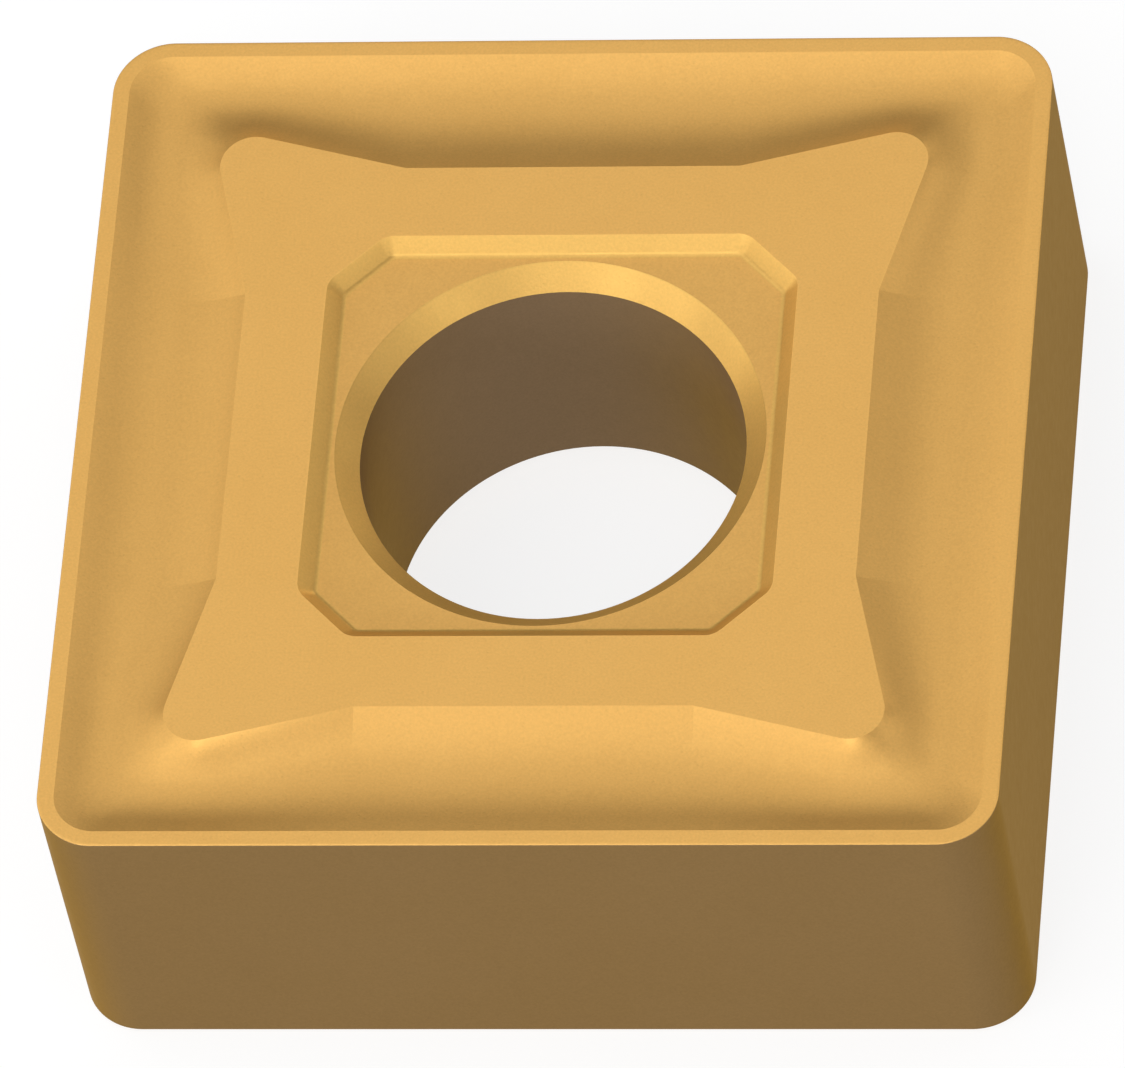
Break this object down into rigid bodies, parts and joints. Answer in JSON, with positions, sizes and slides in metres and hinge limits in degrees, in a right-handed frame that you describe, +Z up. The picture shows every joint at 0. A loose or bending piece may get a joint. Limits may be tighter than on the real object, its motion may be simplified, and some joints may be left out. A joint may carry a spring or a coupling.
{
  "type": "indexable turning insert",
  "caption": "Square double-sided turning insert with rounded noses, a ring-shaped chip breaker groove, raised star-shaped pads and a clamping hole.",
  "frame": {"origin": "centre of the hole at the lower pad, where the insert seats", "axes": "+Z up along the hole, +X and +Y square to the flanks"},
  "size_m": [0.0126, 0.0126, 0.0048],
  "materials": {
    "coated_carbide": "satin gold hard coating on sintered carbide"
  },
  "bodies": {
    "root": {"carbide_insert": "coated_carbide"}
  },
  "joints": []
}
